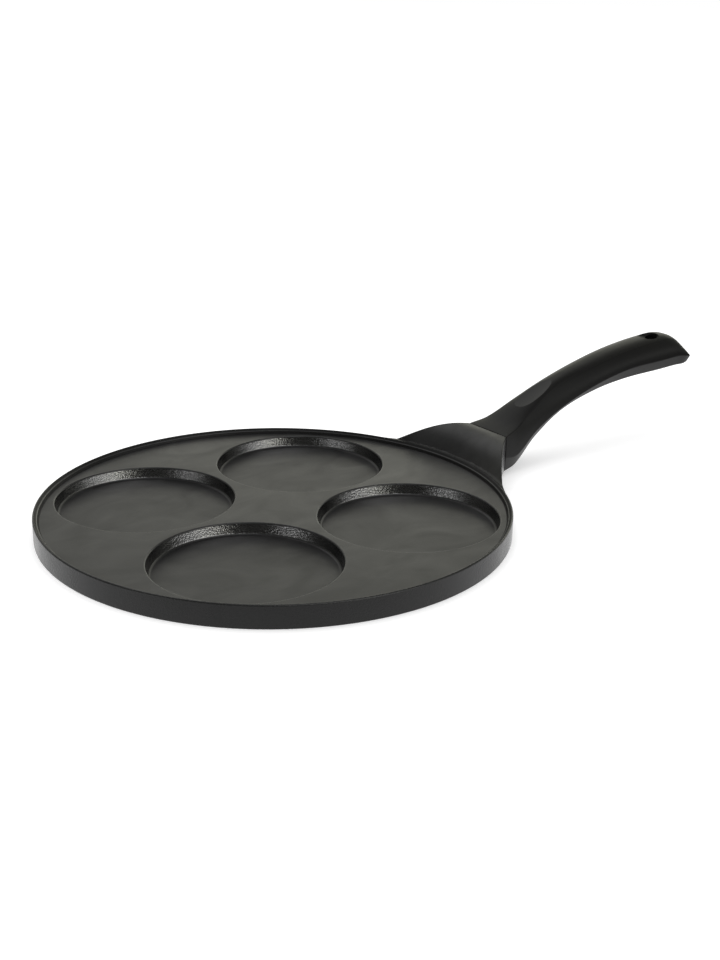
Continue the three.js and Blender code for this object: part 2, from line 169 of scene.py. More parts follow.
# Finishes. A scale counts features in a metre, and a depth is in millimetres.
FULL_GLOSS = 0.5
TONE_LIMITS = (0.3, 0.7)
ROUGHNESS_SPREAD = 0.04
FINE_SPECKS = [(0.35, 0.86), (0.65, 1.0)]
# Specks up to six times the tone: painted sparkle on the cup walls.
PAINTED_SPARKLE_SPECKS = [(0.4, 0.6), (0.52, 1.0), (0.62, 2.5), (0.72, 6.0)]
SMEAR_SCALE = 26
SMEAR_TWIST = 1.2
SMEAR_STRETCH = (1.0, 1.5, 1.0)
COAT_GRAIN_DEPTH = 0.06
COAT_GRAIN_STRENGTH = 0.35
PEBBLE_DEPTH_SHARE = 0.3
PEBBLE_SMOOTHNESS = 0.6
MOULD_GRAIN_SCALE = 1700
MOULD_GRAIN_DEPTH = 0.05
MOULD_GRAIN_STRENGTH = 0.55
MOULD_SPECKS = [(0.35, 0.82), (0.65, 1.0)]
MOULD_TONES = ((0.004, 0.004, 0.0037), (0.0058, 0.0058, 0.0053))
FLOW_SCALE = 40
FLOW_TWIST = 0.6
FLOW_STRETCH = (0.35, 1.0, 1.0)
STEEL_TONES = ((0.42, 0.42, 0.4), (0.56, 0.56, 0.54))
STEEL_ROUGHNESS = (0.3, 0.46)
TURNING_SCALE = 900
TURNING_STRETCH = (1.0, 1.0, 6.0)
TURNING_DEPTH = 0.03
TURNING_STRENGTH = 0.4
PATCH_SCALE = 300


# Nodes and materials


class Nodes:
    """The node tree of a material or world, with short calls to add and link nodes."""

    def __init__(self, owner, coords):
        owner.use_nodes = True
        self.tree = owner.node_tree
        self.coords = self.add("TexCoord").outputs[coords]

    def add(self, kind, inputs=None, **settings):
        node = self.tree.nodes.new("ShaderNode" + kind)
        for key, value in settings.items():
            setattr(node, key, value)
        for key, value in (inputs or {}).items():
            node.inputs[key].default_value = value
        return node

    def link(self, source, target):
        self.tree.links.new(source, target)

    def ramp(self, source, stops):
        node = self.add("ValToRGB")
        elements = node.color_ramp.elements
        while len(elements) < len(stops):
            elements.new(0.5)
        for element, (position, colour) in zip(elements, stops):
            element.position = position
            element.color = (*colour, 1.0)
        self.link(source, node.inputs["Fac"])
        return node.outputs["Color"]

    def range(self, source, low, high, to_low, to_high):
        limits = {"From Min": low, "From Max": high, "To Min": to_low, "To Max": to_high}
        node = self.add("MapRange", limits)
        self.link(source, node.inputs["Value"])
        return node.outputs["Result"]

    def along(self, way):
        """How far the coordinates reach along a direction."""
        node = self.add("VectorMath", {1: way}, operation="DOT_PRODUCT")
        self.link(self.coords, node.inputs[0])
        return node.outputs["Value"]

    def blend(self, kind, first, second):
        node = self.add("Mix", {"Factor": 1.0}, data_type="RGBA", blend_type=kind)
        self.link(first, node.inputs["A"])
        self.link(second, node.inputs["B"])
        return node.outputs["Result"]

    def choice(self, factor, first, second):
        """The first shader where the factor is 0, and the second where it is 1."""
        node = self.add("MixShader")
        for source, target in zip((factor, first, second), node.inputs):
            self.link(source, target)
        return node.outputs[0]


class Finish(Nodes):
    """A material's nodes, with those that feed its shader."""

    def __init__(self, name):
        self.material = bpy.data.materials.new(name)
        super().__init__(self.material, "Object")
        self.shader = self.tree.nodes["Principled BSDF"]

    def set(self, **values):
        for key, value in values.items():
            self.shader.inputs[key.replace("_", " ")].default_value = value

    def stretched(self, scale):
        node = self.add("Mapping", {"Scale": scale})
        self.link(self.coords, node.inputs["Vector"])
        return node.outputs["Vector"]

    def noise(self, scale, detail=2.0, distortion=0.0, vector=None):
        values = {"Scale": scale, "Detail": detail, "Distortion": distortion}
        node = self.add("TexNoise", values)
        self.link(vector or self.coords, node.inputs["Vector"])
        return node.outputs["Fac"]

    def cells(self, scale):
        values = {"Scale": scale, "Smoothness": PEBBLE_SMOOTHNESS}
        node = self.add("TexVoronoi", values, feature="SMOOTH_F1")
        self.link(self.coords, node.inputs["Vector"])
        return node.outputs["Distance"]

    def uneven(self, source, rough):
        """Roughness that varies a little around a value."""
        most, least = rough + ROUGHNESS_SPREAD, rough - ROUGHNESS_SPREAD
        return self.range(source, *TONE_LIMITS, most, least)

    def dull_at_a_glance(self, low, high, level):
        """Gloss that falls to the level where the surface is seen edge on."""
        facing = self.add("LayerWeight", {"Blend": 0.5}).outputs["Facing"]
        fall = self.range(facing, low, high, FULL_GLOSS, level)
        self.link(fall, self.shader.inputs["Specular IOR Level"])

    def bump(self, height, distance, strength, normal=None):
        node = self.add("Bump", {"Distance": distance, "Strength": strength})
        self.link(height, node.inputs["Height"])
        if normal:
            self.link(normal, node.inputs["Normal"])
        return node.outputs["Normal"]

    def done(self, colour, roughness, normal):
        self.link(colour, self.shader.inputs["Base Color"])
        self.link(roughness, self.shader.inputs["Roughness"])
        self.link(normal, self.shader.inputs["Normal"])
        return self.material


def grey(level, tint=1.0):
    return (level, level, level * tint)


def greys(stops, tint=1.0):
    return [(position, grey(level, tint)) for position, level in stops]


def two_tones(dark, light):
    return list(zip(TONE_LIMITS, (dark, light)))


def coating(
    name, dark, light, rough, pebbles, specks=FINE_SPECKS, ior=1.42, pebble_scale=1500, glance=None
):
    """Non-stick coating: satin with faint smears, and pebbled where it was sprayed and left."""
    n = Finish(name)
    smear = n.noise(SMEAR_SCALE, 3, SMEAR_TWIST, n.stretched(SMEAR_STRETCH))
    grain = n.noise(pebble_scale, 2)
    tone = n.ramp(smear, two_tones(grey(dark), grey(light)))
    colour = n.blend("MULTIPLY", tone, n.ramp(grain, greys(specks)))
    roughness = n.uneven(smear, rough)
    fine = n.bump(grain, COAT_GRAIN_DEPTH * MM, COAT_GRAIN_STRENGTH)
    normal = n.bump(n.cells(pebble_scale), PEBBLE_DEPTH_SHARE / pebble_scale, pebbles, fine)
    n.set(IOR=ior)
    if glance:
        n.dull_at_a_glance(*glance)
    return n.done(colour, roughness, normal)


def phenolic(name, rough, ior, glance=None):
    """Black moulded phenolic with a fine moulding grain."""
    n = Finish(name)
    grain = n.noise(MOULD_GRAIN_SCALE, 3)
    flow = n.noise(FLOW_SCALE, 2, FLOW_TWIST, n.stretched(FLOW_STRETCH))
    tone = n.ramp(flow, two_tones(*MOULD_TONES))
    colour = n.blend("MULTIPLY", tone, n.ramp(grain, greys(MOULD_SPECKS)))
    roughness = n.uneven(flow, rough)
    normal = n.bump(grain, MOULD_GRAIN_DEPTH * MM, MOULD_GRAIN_STRENGTH)
    n.set(IOR=ior)
    if glance:
        n.dull_at_a_glance(*glance)
    return n.done(colour, roughness, normal)


def plated_steel():
    """Zinc-plated steel with fine turning marks and dull patches."""
    n = Finish("plated_steel")
    turning = n.noise(TURNING_SCALE, 2, 0.0, n.stretched(TURNING_STRETCH))
    patch = n.noise(PATCH_SCALE, 3)
    colour = n.ramp(patch, two_tones(*STEEL_TONES))
    roughness = n.range(turning, *TONE_LIMITS, *STEEL_ROUGHNESS)
    normal = n.bump(turning, TURNING_DEPTH * MM, TURNING_STRENGTH)
    n.set(Metallic=1.0)
    return n.done(colour, roughness, normal)


PLATE_COAT = coating("coating_plate", dark=0.009, light=0.02, rough=0.36, pebbles=0.02)
# Lighter coat on the rounded edges of the cup mouths and the lip: painted highlight lines.
PAINTED_HIGHLIGHT_COAT = coating("coating_painted_edge_highlights", dark=0.018, light=0.024, rough=0.28, pebbles=0.02)
# Near-black coat on the lip's slope, in the rim's groove and in the neck's crease at the rim:
# painted shade, darker than the plate's coat.
PAINTED_SHADE_COAT = coating("coating_painted_shade", dark=0.004, light=0.006, rough=0.55, pebbles=0.1, ior=1.3)
SIDE_COAT = coating(
    "coating_side", dark=0.011, light=0.014, rough=0.26, pebbles=0.35, pebble_scale=1100
)
# Cup walls darker than the plate's coat: painted shade. The bright specks are painted sparkle, set
# on the walls' real pebbled texture.
SHADED_CUP_COAT = coating(
    "coating_cup_walls_painted_shade",
    dark=0.004,
    light=0.006,
    rough=0.18,
    pebbles=0.75,
    specks=PAINTED_SPARKLE_SPECKS,
    ior=2.7,
    pebble_scale=1400,
    glance=(0.22, 0.55, 0.03),
)
COATS = (PLATE_COAT, SIDE_COAT, PAINTED_HIGHLIGHT_COAT, PAINTED_SHADE_COAT, SHADED_CUP_COAT)
FLAT, SIDE, PAINTED_HIGHLIGHT, PAINTED_SHADE, SHADED_CUP_WALL = range(5)
PHENOLIC = phenolic("phenolic_crown", rough=0.34, ior=1.3, glance=(0.5, 0.9, 0.1))
PHENOLIC_SIDE = phenolic("phenolic_side", rough=0.46, ior=1.26)
PHENOLIC_BEVEL = phenolic("phenolic_bevel", rough=0.36, ior=1.32)
PHENOLIC_DISH = phenolic("phenolic_dish", rough=0.3, ior=1.38)
CROWN_SLOT, FLANK_SLOT, BEVEL_SLOT = range(3)
STEEL = plated_steel()


# Mesh helpers


class Skin:
    """Points in millimetres and faces, gathered ring by ring."""

    def __init__(self):
        self.points = []
        self.faces = []
        self.slots = []

    def ring(self, points):
        first = len(self.points)
        self.points.extend(points)
        return list(range(first, len(self.points)))

    def face(self, corners, slot=0):
        self.faces.append(corners)
        self.slots.append(slot)

    def band(self, low, high, slot=0):
        count = len(low)
        for i in range(count):
            j = (i + 1) % count
            self.face((low[i], low[j], high[j], high[i]), slot)

    def bands(self, rings, profile):
        """Bands between the rings of a (radius, z, slot) profile."""
        for low, high, (_, _, slot) in zip(rings, rings[1:], profile[1:]):
            self.band(low, high, slot)

    def cap(self, ring, slot=0, flip=False):
        count = len(ring)
        middle = [sum(self.points[i][axis] for i in ring) / count for axis in range(3)]
        hub = self.ring([middle])[0]
        for i in range(count):
            j = (i + 1) % count
            self.face((ring[j], ring[i], hub) if flip else (ring[i], ring[j], hub), slot)

    def loft(self, rings, slot=0):
        """A closed body through the rings, which run against the clock seen from the last one."""
        placed = [self.ring(ring) for ring in rings]
        for low, high in zip(placed, placed[1:]):
            self.band(low, high, slot)
        self.cap(placed[0], slot, flip=True)
        self.cap(placed[-1], slot)
        return self

    def object(self, name, *materials):
        mesh = bpy.data.meshes.new(name)
        mesh.from_pydata([Vector(point) * MM for point in self.points], [], self.faces)
        for material in materials:
            mesh.materials.append(material)
        mesh.polygons.foreach_set("material_index", self.slots)
        mesh.validate()
        mesh.update()
        obj = bpy.data.objects.new(name, mesh)
        bpy.context.scene.collection.objects.link(obj)
        return obj


def circle(radius, z, segments, x=0.0, y=0.0):
    angles = [2 * math.pi / segments * i for i in range(segments)]
    return [(x + radius * math.cos(a), y + radius * math.sin(a), z) for a in angles]


def arc(radius, z, size, start, end, steps):
    """Profile points (radius, z) on an arc, from one angle to another in degrees."""
    angles = [math.radians(start + (end - start) * i / steps) for i in range(steps + 1)]
    return [(radius + size * math.cos(a), z + size * math.sin(a)) for a in angles]


def post(name, profile, x, material, segments=64):
    """A round cutter along Z, through (radius, z) steps from below."""
    rings = [circle(radius, z, segments, x) for radius, z in profile]
    return Skin().loft(rings).object(name, material)


def bar(name, width, height, corner, start, end, z, material):
    """A rounded rectangular bar along X."""
    section = []
    for side, up, first in ((1, -1, -90), (1, 1, 0), (-1, 1, 90), (-1, -1, 180)):
        centre = (side * (width / 2 - corner), z + up * (height / 2 - corner))
        section += arc(*centre, corner, first, first + 90, TENON_CORNER_STEPS)
    rings = [[(x, y, high) for y, high in section] for x in (start, end)]
    return Skin().loft(rings).object(name, material)


def ellipsoid(name, half_length, half_width, half_height, pitch, x, z, material):
    """An ellipsoid cutter in the handle's vertical plane, tipped up by the pitch."""
    turn = Matrix.Rotation(-pitch, 3, "Y")
    rings = []
    for i in range(1, CUTTER_RINGS):
        # The rings crowd at the underside, which makes the cut.
        angle = math.pi * (i / CUTTER_RINGS) ** 2
        ring = []
        for px, py, pz in circle(math.sin(angle), -math.cos(angle), CUTTER_SEGMENTS):
            point = turn @ Vector((px * half_length, py * half_width, pz * half_height))
            ring.append((point.x + x, point.y, point.z + z))
        rings.append(ring)
    return Skin().loft(rings).object(name, material)


def boolean(obj, operation, *tools):
    """Joins or cuts obj with each tool, and removes the tools."""
    for tool in tools:
        step = obj.modifiers.new(operation, "BOOLEAN")
        step.operation = operation
        step.solver = "EXACT"
        step.material_mode = "TRANSFER"
        step.object = tool
        view = bpy.context.evaluated_depsgraph_get()
        mesh = bpy.data.meshes.new_from_object(obj.evaluated_get(view))
        obj.modifiers.clear()
        old = obj.data
        obj.data = mesh
        bpy.data.meshes.remove(old)
        bpy.data.objects.remove(tool)


def shade(obj, angle):
    """Smooth shading that stays crisp over edges sharper than the angle."""
    obj.data.shade_smooth()
    obj.data.set_sharp_from_angle(angle=math.radians(angle))
    weighted = obj.modifiers.new("weighted_normals", "WEIGHTED_NORMAL")
    weighted.keep_sharp = True


# Pan casting


def rim_profile():
    """Steps (radius, z, slot) from the base, up the side, over the lip and down to the plate."""
    base = arc(PAN_RADIUS - BASE_ROUND, BASE_ROUND, BASE_ROUND, -90, 0, SMALL_ROUND_STEPS)
    rim_centre = (PAN_RADIUS - RIM_ROUND, RIM_HEIGHT - RIM_ROUND)
    rim = arc(*rim_centre, RIM_ROUND, 0, RIM_CREST_ANGLE, RIM_ROUND_STEPS)
    lip_centre = (LIP_RADIUS + LIP_ROUND, LIP_FOOT - LIP_ROUND_DROP)
    lip = arc(*lip_centre, LIP_ROUND, RIM_CREST_ANGLE, 180, SMALL_ROUND_STEPS)
    profile = [(BASE_HUB_RADIUS, 0, SIDE), (BASE_FLAT_RADIUS, 0, SIDE)]
    profile += [(r, z, SIDE) for r, z in base]
    profile += [(PAN_RADIUS, SIDE_RING_Z, SIDE)]
    profile += [(r, z, SIDE) for r, z in rim]
    # Painted shade on the lip's slope and in the groove, and a painted highlight on the lip's
    # rounding between them.
    profile += [(LIP_RADIUS + LIP_SLOPE_FOOT, LIP_FOOT + LIP_ROUND, PAINTED_SHADE)]
    profile += [(r, z, PAINTED_HIGHLIGHT) for r, z in lip]
    profile += [(PLATE_RADIUS + GROOVE_SLOPE_FOOT, PLATE_TOP + GROOVE_EASE, PAINTED_SHADE)]
    profile += [(PLATE_RADIUS + GROOVE_EASE, PLATE_TOP, PAINTED_SHADE)]
    profile += [(PLATE_RADIUS - GROOVE_WIDTH, PLATE_TOP, FLAT)]
    return profile


def cup_profile():
    """Steps (radius, z, slot) from a cup's edge down its wall to its floor."""
    edge = arc(CUP_RADIUS, PLATE_TOP - CUP_EDGE_ROUND, CUP_EDGE_ROUND, 90, 180, CUP_ROUND_STEPS)
    foot_centre = (CUP_WALL_FOOT - CUP_FOOT_ROUND, CUP_FLOOR + CUP_FOOT_ROUND)
    foot = arc(*foot_centre, CUP_FOOT_ROUND, 0, -90, CUP_ROUND_STEPS)
    half = len(foot) // 2
    # The mouth's rounding takes the lighter coat: a painted highlight line.
    profile = [(r, z, PAINTED_HIGHLIGHT) for r, z in edge]
    # The wall and the upper half of its foot take the darker cup coat: painted shade.
    profile += [(CUP_WALL_FOOT + CUP_WALL_MIDDLE_LEAN, CUP_WALL_MIDDLE_Z, SHADED_CUP_WALL)]
    profile += [(r, z, SHADED_CUP_WALL) for r, z in foot[:half]]
    profile += [(r, z, FLAT) for r, z in foot[half:]]
    profile += [(CUP_HUB_RADIUS, CUP_FLOOR, FLAT)]
    return profile


def plate():
    """Plate with its rim and the four cups."""
    skin = Skin()
    profile = rim_profile()
    rings = [skin.ring(circle(r, z, PAN_SEGMENTS)) for r, z, _ in profile]
    skin.cap(rings[0], SIDE, flip=True)
    skin.bands(rings, profile)
    borders = [rings[-1]]
    profile = cup_profile()
    for quarter in range(4):
        angle = math.radians(45 + 90 * quarter)
        x = CUP_CIRCLE_RADIUS * math.cos(angle)
        y = CUP_CIRCLE_RADIUS * math.sin(angle)
        rings = [skin.ring(circle(r, z, CUP_SEGMENTS, x, y)) for r, z, _ in profile]
        skin.bands(rings, profile)
        skin.cap(rings[-1])
        borders.append(rings[0])
    fill_flat(skin, borders)
    return skin.object("pan_casting", *COATS)


def fill_flat(skin, borders):
    """Fills the flat between the first border and the rings inside it."""
    order = [i for border in borders for i in border]
    place = {index: n for n, index in enumerate(order)}
    points = [Vector(skin.points[i][:2]) for i in order]
    edges = []
    for border in borders:
        edges += [(place[a], place[b]) for a, b in zip(border, border[1:] + border[:1])]
    _, _, faces, origins, _, _ = delaunay_2d_cdt(points, edges, [], FILL_INSIDE, FILL_MERGE)
    owner = {i: n for n, border in enumerate(borders) for i in border}
    for corners in faces:
        face = [order[origins[c][0]] for c in corners]
        sides = {owner[i] for i in face}
        if len(sides) > 1 or sides == {0}:
            skin.face(face)


def bezier(a, b, c, t):
    return tuple((1 - t) ** 2 * p + 2 * t * (1 - t) * q + t * t * r for p, q, r in zip(a, b, c))


def swell(radius):
    """Height of the neck's top over the distance from the pan's centre."""
    low = RIM_HEIGHT - NECK_FOOT_DROP
    first = PAN_RADIUS + NECK_FOOT_FLAT
    pull = first + NECK_FOOT_RUN
    last = SEAM_X - NECK_CREST_FLAT
    if radius <= first:
        return low
    if radius >= last:
        return NECK_TOP
    a = first - 2 * pull + last
    b = 2 * (pull - first)
    t = (-b + math.sqrt(b * b - 4 * a * (first - radius))) / (2 * a)
    return bezier((low,), (NECK_TOP,), (NECK_TOP,), t)[0]


def neck_finish(centre, on_top):
    """Coated like the pan's side, and like the plate on top, with a band of painted shade in the
    crease at the rim.
    """
    if not on_top:
        return SIDE
    # A band of near-black coat along the rim: painted shade in the crease.
    if math.hypot(*centre[:2]) < PAN_RADIUS + CREASE_SHADE_WIDTH:
        return PAINTED_SHADE
    return FLAT


def neck():
    """Neck: sections from the rim to the seam, flat on top with small round edges."""
    leave = (PAN_RADIUS * math.cos(NECK_SPREAD), PAN_RADIUS * math.sin(NECK_SPREAD))
    along = (math.sin(NECK_SPREAD), -math.cos(NECK_SPREAD))
    pull = tuple(start + NECK_SIDE_TANGENT * step for start, step in zip(leave, along))
    seam = (SEAM_X, NECK_HALF_WIDTH)
    low_pull = (pull[0], pull[1] - NECK_LOW_NARROWING)
    skin = Skin()
    rings = []
    for s in range(NECK_STEPS + 2):
        u = min(s / NECK_STEPS, 1)
        ease = SEAM_ROUND if s > NECK_STEPS else 0.0
        short = SEAM_ROUND_RUN if s == NECK_STEPS else 0.0
        x_edge, y_edge = bezier(leave, pull, seam, u)
        y_low = bezier(leave, low_pull, seam, u)[1]
        x_mid = PAN_RADIUS + (SEAM_X - PAN_RADIUS) * u
        top_edge = swell(math.hypot(x_edge, y_edge))
        low = NECK_UNDERSIDE + ease
        narrow = y_low - ease
        wide = y_edge - ease
        lean = (y_edge - y_low) / (top_edge - NECK_UNDERSIDE)
        spread = wide - NECK_TOP_ROUND
        side_low = low + NECK_LOW_ROUND
        side_high = top_edge - ease - NECK_TOP_ROUND
        side = [(narrow - NECK_LOW_ROUND, low)]
        side += [(narrow - NECK_LOW_INSET, low + NECK_LOW_INSET), (narrow, side_low)]
        for i in range(1, NECK_SIDE_STEPS + 1):
            z = side_low + (side_high - side_low) * i / NECK_SIDE_STEPS
            side.append((wide - lean * (top_edge - z), z))
        side += arc(spread, side_high, NECK_TOP_ROUND, 30, 90, 2)
        ring = [(x_edge - short, y, z) for y, z in side]
        far = [(x, -y, z) for x, y, z in reversed(ring)]
        for i in range(1, 2 * NECK_HALF_STEPS):
            across = 1 - i / NECK_HALF_STEPS
            x = x_edge + (x_mid - x_edge) * (1 - across * across)
            y = spread * across
            ring.append((x - short, y, swell(math.hypot(x, y)) - ease))
        rings.append(skin.ring(ring + far))
    count = len(rings[0])
    top_from = len(side) - 2
    for low, high in zip(rings, rings[1:]):
        for i in range(count):
            j = (i + 1) % count
            corners = (low[i], low[j], high[j], high[i])
            centre = [sum(skin.points[c][axis] for c in corners) / 4 for axis in range(3)]
            skin.face(corners, neck_finish(centre, top_from <= i < count - 1 - top_from))
    skin.cap(rings[0], SIDE, flip=True)
    skin.cap(rings[-1], SIDE)
    return skin.object("neck", *COATS)


def pan_casting():
    """The plate joined with its neck and the tenon that holds the handle."""
    obj = plate()
    tenon_size = (TENON_WIDTH, TENON_HEIGHT, TENON_CORNER)
    tenon = bar("tenon", *tenon_size, SEAM_X - TENON_ROOT, TENON_END, TENON_Z, SIDE_COAT)
    tap = [(SCREW_HOLE_RADIUS, TENON_Z + side * TENON_HEIGHT) for side in (-1, 1)]
    boolean(tenon, "DIFFERENCE", post("tap", tap, SCREW_X, SIDE_COAT))
    arm = neck()
    root = [(NECK_ROOT_RADIUS, -NECK_TOP), (NECK_ROOT_RADIUS, 2 * NECK_TOP)]
    boolean(arm, "DIFFERENCE", post("neck_root", root, 0, SIDE_COAT, PAN_SEGMENTS))
    boolean(arm, "UNION", tenon)
    boolean(obj, "UNION", arm)
    shade(obj, PAN_CRISP_ANGLE)
    return obj


# Handle


def station(key, at):
    """Smooth value between the handle's stations, by a cubic through each pair."""
    index = 0
    while index < len(STATIONS) - 2 and at > STATIONS[index + 1]["at"]:
        index += 1
    low, high = STATIONS[index], STATIONS[index + 1]
    span = high["at"] - low["at"]
    t = (at - low["at"]) / span
    slopes = []
    for i in (index, index + 1):
        before, after = STATIONS[max(i - 1, 0)], STATIONS[min(i + 1, len(STATIONS) - 1)]
        slopes.append((after[key] - before[key]) / (after["at"] - before["at"]) * span)
    curve = (2 * t**3 - 3 * t**2 + 1) * low[key] + (t**3 - 2 * t**2 + t) * slopes[0]
    return curve + (3 * t**2 - 2 * t**3) * high[key] + (t**3 - t**2) * slopes[1]


KEYS = ("at", "rise", "depth", "width", "bevel", "inset", "edge", "drop")
SEAM_DEPTH = (NECK_TOP - NECK_UNDERSIDE) / GRIP_DEPTH
STATIONS = [
    dict(zip(KEYS, values))
    for values in (
        (0, 0, SEAM_DEPTH, 2 * NECK_HALF_WIDTH / GRIP_WIDTH, 1.23, 0.13, 0.975, 0.02),
        (12, 0.102, SEAM_DEPTH + 0.1, 0.99, 0.89, 0.5, 0.9, 0.07),
        (30, 0.357, 1.02, 0.84, 0.68, 0.62, 0.78, 0.13),
        (51.8, 0.6, 0.85, 0.83, 0.41, 0.62, 0.6, 0.15),
        (80.14, 0.78, 0.79, 0.88, 0.62, 0.69, 0.6, 0.15),
        (108.48, 0.917, 0.887, 0.93, 0.93, 0.88, 0.6, 0.15),
        (139, 1, 1, 0.98, 1, 1, 0.6, 0.15),
        (155, 0.985, 0.935, 1, 0.99, 1, 0.6, 0.15),
        (163, 0.81, 0.598, 0.99, 0.85, 0.94, 0.6, 0.15),
        (HANDLE_LENGTH, 0.671, 0.292, 0.94, 0.63, 0.81, 0.6, 0.15),
    )
]


def ridge(at):
    return NECK_TOP + HANDLE_RISE * station("rise", at)


def handle_section(at, inset):
    """A crown and two sides that meet in an eased crease, over two bevels and a flat underside."""
    top = ridge(at)
    under = top - GRIP_DEPTH * station("depth", at)
    shoulder = under + BEVEL_HEIGHT * station("bevel", at)
    half = GRIP_WIDTH * station("width", at) / 2
    foot = half - BEVEL_INSET * station("inset", at)
    edge = half * station("edge", at)
    edge_z = top - (top - shoulder) * station("drop", at)
    lean = Vector((half - foot, shoulder - under)).normalized()
    ease = UNDERSIDE_ROUND_INSET
    near = [(foot - UNDERSIDE_ROUND, under)]
    near += [(foot + UNDERSIDE_ROUND_LEAN * lean.x - ease, under + ease)]
    near += [(foot + BEVEL_FOOT_ROUND * lean.x, under + BEVEL_FOOT_ROUND * lean.y)]
    near += [(half - BEVEL_TOP_ROUND * lean.x, shoulder - BEVEL_TOP_ROUND * lean.y)]
    last = 1 - CREASE_ROUND / (edge_z - shoulder)
    for i in range(HANDLE_SIDE_STEPS + 1):
        up = last * i / HANDLE_SIDE_STEPS
        near.append((half - (half - edge) * up**SIDE_POWER, shoulder + (edge_z - shoulder) * up))
    first = 1 - CREASE_ROUND / edge
    crown = []
    for i in range(2 * CROWN_HALF_STEPS + 1):
        across = first * (1 - i / CROWN_HALF_STEPS)
        crown.append((edge * across, top - (top - edge_z) * abs(across) ** CROWN_POWER))
    below, above = near[-1], crown[0]
    crease_y = 0.5 * edge + 0.25 * (below[0] + above[0])
    crease_z = 0.5 * edge_z + 0.25 * (below[1] + above[1])
    near.append((crease_y, crease_z))
    section = near + crown + [(-y, z) for y, z in reversed(near)]
    middle = Vector((0, (top + under) / 2))
    ring = []
    for y, z in section:
        point = Vector((y, z))
        if inset:
            point -= (point - middle).normalized() * inset
        ring.append((HANDLE_FRONT_X + at, point.x, point.y))
    return ring


def handle():
    """The grip, less its socket, screw hole, thumb dish, scoop and hanging hole."""
    rings = [handle_section(0, HANDLE_END_ROUND), handle_section(HANDLE_END_ROUND, 0)]
    run = HANDLE_LENGTH - HANDLE_END_ROUND - HANDLE_TAIL
    for i in range(1, HANDLE_STEPS + 1):
        rings.append(handle_section(HANDLE_END_ROUND + run * i / HANDLE_STEPS, 0))
    rings.append(handle_section(HANDLE_LENGTH - HANDLE_TAIL_STEP, HANDLE_TAIL_INSET))
    rings.append(handle_section(HANDLE_LENGTH, HANDLE_END_ROUND))
    skin = Skin().loft(rings)
    count = len(rings[0])
    last_bevel = 2
    last_flank = HANDLE_SIDE_STEPS + 4
    for n in range(count * (len(rings) - 1)):
        strip = min(n % count, count - 2 - n % count)
        if strip <= last_bevel:
            skin.slots[n] = BEVEL_SLOT
        elif strip <= last_flank:
            skin.slots[n] = FLANK_SLOT
        else:
            skin.slots[n] = CROWN_SLOT
    obj = skin.object("handle_grip", PHENOLIC, PHENOLIC_SIDE, PHENOLIC_BEVEL)
    socket_size = (
        TENON_WIDTH + 2 * TENON_GAP,
        TENON_HEIGHT + 2 * TENON_GAP,
        TENON_CORNER + TENON_GAP,
    )
    socket_run = (SEAM_X - SOCKET_LEAD, TENON_END + TENON_GAP)
    screw_way = [(SCREW_HEAD_WAY, 0), (SCREW_HEAD_WAY, SEAT_Z)]
    screw_way += [(SCREW_HOLE_RADIUS, SEAT_Z), (SCREW_HOLE_RADIUS, TENON_Z)]
    hole = [(HOLE_RADIUS, HOLE_BOTTOM_Z), (HOLE_RADIUS, HOLE_TOP_Z)]
    scoop_half = (SCOOP_HALF_LENGTH, SCOOP_HALF_WIDTH, SCOOP_DEPTH)
    pitch = math.atan2(ridge(THUMB_AT + 1) - ridge(THUMB_AT - 1), 2)
    thumb_half = (
        math.sqrt(THUMB_LONG_RADIUS * THUMB_CUTTER_HALF_HEIGHT),
        math.sqrt(THUMB_CROSS_RADIUS * THUMB_CUTTER_HALF_HEIGHT),
        THUMB_CUTTER_HALF_HEIGHT,
    )
    lift = THUMB_CUTTER_HALF_HEIGHT - THUMB_DEPTH
    thumb_x = HANDLE_FRONT_X + THUMB_AT - lift * math.sin(pitch)
    thumb_z = ridge(THUMB_AT) + lift * math.cos(pitch)
    boolean(
        obj,
        "DIFFERENCE",
        bar("socket", *socket_size, *socket_run, TENON_Z, PHENOLIC),
        post("screw_way", screw_way, SCREW_X, PHENOLIC),
        ellipsoid("dish", *thumb_half, pitch, thumb_x, thumb_z, PHENOLIC_DISH),
        ellipsoid("scoop", *scoop_half, 0, HANDLE_FRONT_X + SCOOP_AT, ridge(SCOOP_AT), PHENOLIC),
        post("hole", hole, HANDLE_FRONT_X + HOLE_AT, PHENOLIC, HOLE_SEGMENTS),
    )
    shade(obj, HANDLE_CRISP_ANGLE)
    return obj


# Pieces of the object

casting = pan_casting()
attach(casting, "root")
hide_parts("pan_body")

grip = handle()
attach(grip, "root")
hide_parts("handle")

for name in ("handle_screw", "spring_washer", "flat_washer"):
    node = frame["nodes"][name]
    node.data.materials.clear()
    node.data.materials.append(STEEL)


# Floor, light and camera

FLOOR_RADIUS = 30000.0
FLOOR_BOTTOM = -20.0
FLOOR_TOP = -0.02
FLOOR_SEGMENTS = 64
FLOOR_TONE = 0.86
FLOOR_ROUGHNESS = 0.9
FLOOR_GLOW = 0.38
# Where the floor dims for gloss: the direction, the start and end in metres, and the last level
FLOOR_FALLS = (
    ((0.6, -0.8, 0.0), 0.22, 0.31, 0.1),
    ((-0.6, -0.8, 0.0), 0.08, 0.16, 0.6),
)
WHITE = (1, 1, 1, 1)
WHITE_LEVEL = 1.0
DOME_LEVEL = 0.85
GLOSS_LEVEL = 1.15
CEILING_TINT = 0.88
CEILING = [(0.0, 1.0), (0.28, 1.0), (0.45, 0.64), (0.62, 0.28), (1.0, 0.18)]
DEPTH_WAY = (0.4, 0.28, 0.0)
DEPTH_MIDDLE = 0.5
DEPTH = [(0.0, 0.03), (0.3, 0.04), (0.55, 0.15), (0.72, 0.25), (0.87, 0.42), (0.94, 1.05)]
